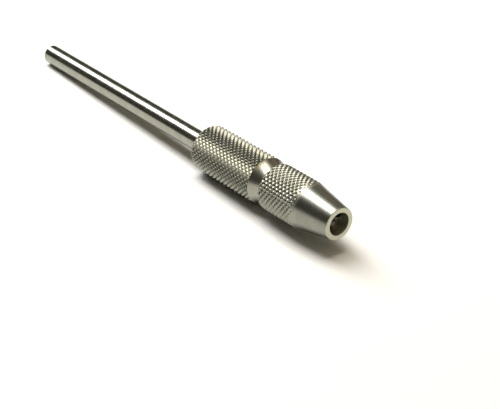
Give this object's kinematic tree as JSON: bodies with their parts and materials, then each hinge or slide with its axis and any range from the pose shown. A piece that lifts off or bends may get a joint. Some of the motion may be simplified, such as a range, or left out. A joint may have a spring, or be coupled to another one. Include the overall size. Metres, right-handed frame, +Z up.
{
  "type": "pin vise drill",
  "caption": "Slim metal pin vise: a thin straight shank in a knurled grip with a coved neck, and a knurled, coned nose nut that closes a split collet on a small drill or wire.",
  "frame": {"origin": "on the tool's axis at the centre of the collet's mouth, 2.25 mm inside the nose", "axes": "+X runs along the axis and out of the nose, the way a drill leaves; +Z is up as the tool lies on its knurled bands, 4.5 mm above the table"},
  "size_m": [0.0909, 0.009, 0.009],
  "materials": {
    "polished_plate": "drawn tube, nickel plated and polished",
    "satin_plate": "turned and knurled steel, nickel plated, satin",
    "spring_steel": "hardened, bare, lightly oiled"
  },
  "bodies": {
    "grip": {"knurled_grip": "satin_plate", "shank_tube": "polished_plate"},
    "collet": {"collet_sleeve": "spring_steel"},
    "nut": {"nose_nut": "satin_plate"},
    "jaw_1": {"collet_jaw_1": "spring_steel"},
    "jaw_2": {"collet_jaw_2": "spring_steel"},
    "jaw_3": {"collet_jaw_3": "spring_steel"},
    "jaw_4": {"collet_jaw_4": "spring_steel"}
  },
  "joints": [
    {"name": "collet_slide", "type": "slide", "parent": "grip", "child": "collet", "axis": [1, 0, 0], "range_m": [-0.00075, 0.00025]},
    {"name": "nut_turn", "type": "hinge", "parent": "collet", "child": "nut", "pos_m": [0, 0, 0], "axis": [1, 0, 0], "range_deg": [-540, 180]},
    {"name": "jaw_1_spring", "type": "hinge", "parent": "collet", "child": "jaw_1", "pos_m": [-0.01425, 0.00117, 0.00117], "axis": [0, -0.7071, 0.7071], "range_deg": [-1.21, 0.41]},
    {"name": "jaw_2_spring", "type": "hinge", "parent": "collet", "child": "jaw_2", "pos_m": [-0.01425, -0.00117, 0.00117], "axis": [0, -0.7071, -0.7071], "range_deg": [-1.21, 0.41]},
    {"name": "jaw_3_spring", "type": "hinge", "parent": "collet", "child": "jaw_3", "pos_m": [-0.01425, -0.00117, -0.00117], "axis": [0, 0.7071, -0.7071], "range_deg": [-1.21, 0.41]},
    {"name": "jaw_4_spring", "type": "hinge", "parent": "collet", "child": "jaw_4", "pos_m": [-0.01425, 0.00117, -0.00117], "axis": [0, 0.7071, 0.7071], "range_deg": [-1.21, 0.41]}
  ],
  "couplings": [
    {"joint": "nut_turn", "follows": "collet_slide", "rad_per_m": 12566},
    {"joint": "jaw_1_spring", "follows": "collet_slide", "rad_per_m": 27.988},
    {"joint": "jaw_2_spring", "follows": "collet_slide", "rad_per_m": 27.988},
    {"joint": "jaw_3_spring", "follows": "collet_slide", "rad_per_m": 27.988},
    {"joint": "jaw_4_spring", "follows": "collet_slide", "rad_per_m": 27.988}
  ]
}
